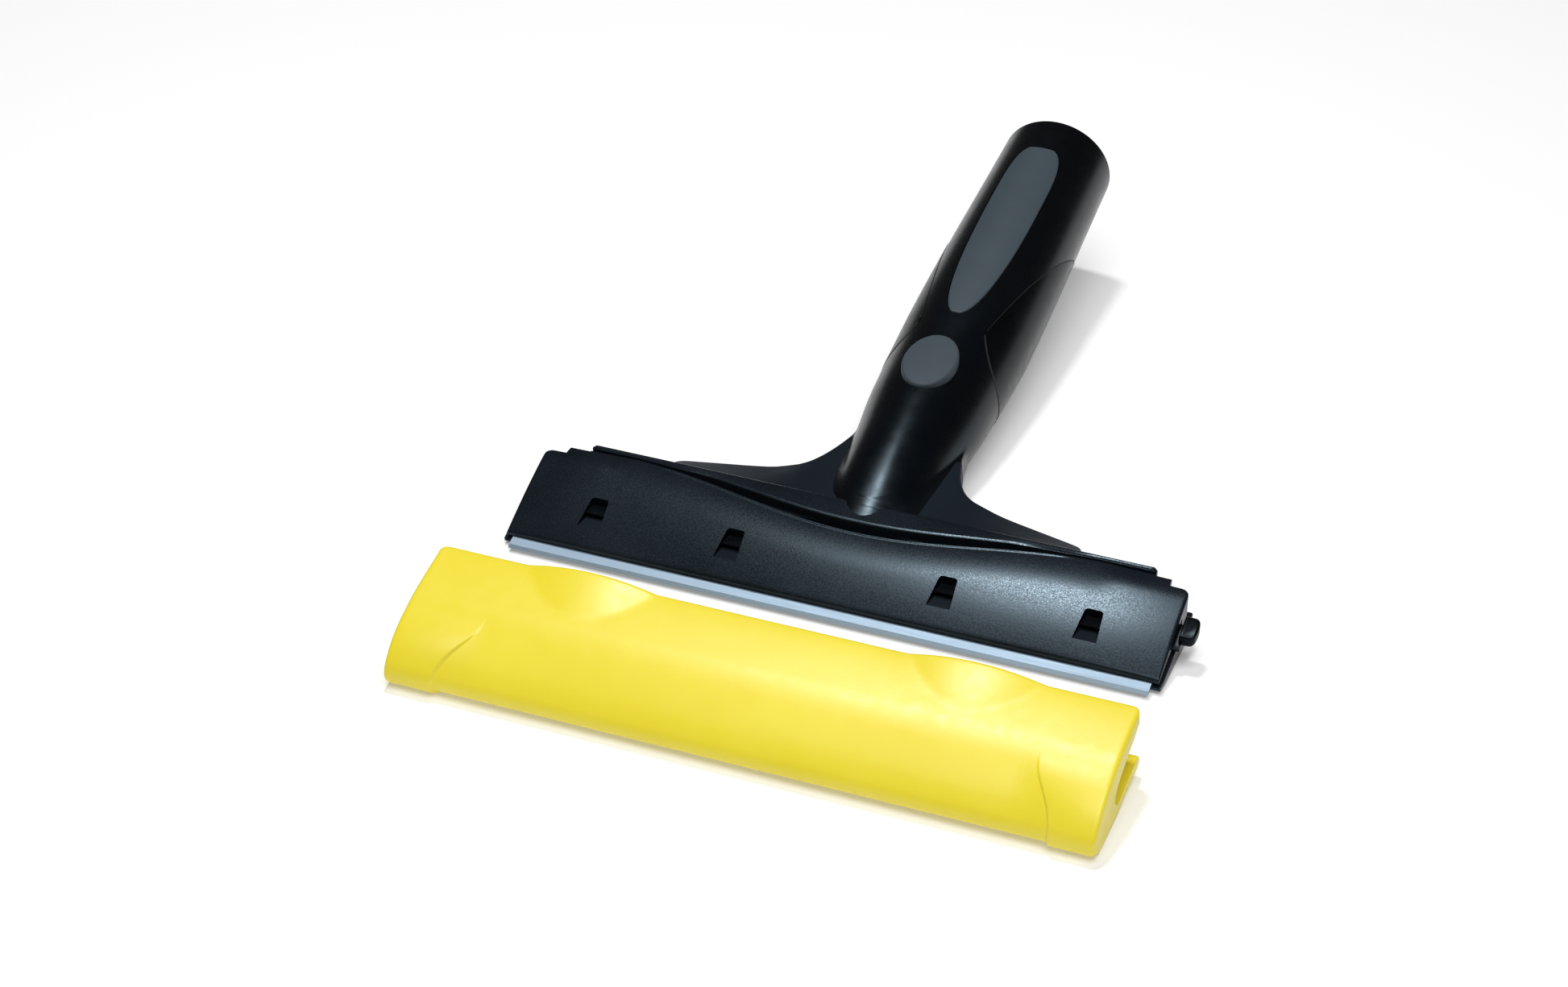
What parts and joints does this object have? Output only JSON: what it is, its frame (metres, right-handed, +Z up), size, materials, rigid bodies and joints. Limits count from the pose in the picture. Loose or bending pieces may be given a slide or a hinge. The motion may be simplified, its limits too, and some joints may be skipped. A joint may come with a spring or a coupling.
{
  "type": "glass scraper with pole-socket handle and blade cover",
  "caption": "Wide hand scraper for glass: a steel blade clamped in a low head, a pole-socket handle with a lock button, and a slide-on yellow blade cover.",
  "frame": {"origin": "on the flat underside of the head, midway along the blade and 14 mm behind its cutting edge", "axes": "+X along the blade towards the release knob, +Y from the blade towards the handle's butt, +Z up from the surface the tool lies on"},
  "size_m": [0.1587, 0.2276, 0.0434],
  "materials": {
    "black_plastic": "fine-textured black moulded plastic",
    "soft_black": "matt soft-touch black",
    "slate_rubber": "matt slate-grey soft plastic",
    "yellow_plastic": "satin yellow moulded plastic",
    "blade_steel": "ground blade steel",
    "spring_steel": "plain spring steel",
    "liner_plastic": "plain dark grey plastic"
  },
  "bodies": {
    "handle": {"handle_body": "black_plastic", "socket_sleeve": "liner_plastic", "soft_grip": "soft_black", "thumb_pad": "slate_rubber", "hinge_pin_left": "spring_steel", "hinge_pin_right": "spring_steel", "detent_spring": "spring_steel", "plate_spring_left": "spring_steel", "plate_spring_right": "spring_steel", "blade_bed": "spring_steel", "bed_rivet_1": "spring_steel", "bed_rivet_2": "spring_steel", "bed_rivet_3": "spring_steel", "bed_rivet_4": "spring_steel", "lock_spring": "spring_steel"},
    "lock": {"lock_button": "slate_rubber", "lock_yoke": "liner_plastic"},
    "slider": {"release_slider": "black_plastic"},
    "plate": {"clamp_plate": "black_plastic"},
    "blade": {"blade": "blade_steel"},
    "cover": {"blade_cover": "yellow_plastic"}
  },
  "joints": [
    {"name": "button_press", "type": "slide", "parent": "handle", "child": "lock", "axis": [0, 0.1927, -0.9813], "range_m": [0, 0.0014], "stiffness_N_per_m": 800, "springref_m": -0.003, "deforming": ["lock_spring"]},
    {"name": "slider_push", "type": "slide", "parent": "handle", "child": "slider", "axis": [1, 0, 0], "range_m": [0, 0.005]},
    {"name": "plate_open", "type": "hinge", "parent": "handle", "child": "plate", "pos_m": [0, 0.0084, 0.0076], "axis": [-1, 0, 0], "range_deg": [0, 2]},
    {"name": "blade_change", "type": "slide", "parent": "handle", "child": "blade", "axis": [1, 0, 0], "range_m": [0, 0.155]},
    {"name": "cover_on", "type": "slide", "parent": "handle", "child": "cover", "axis": [-0.0427, 0.9858, -0.1624], "range_m": [0, 0.035]}
  ],
  "couplings": [
    {"joint": "plate_open", "follows": "slider_push", "rad_per_m": 6.98}
  ]
}
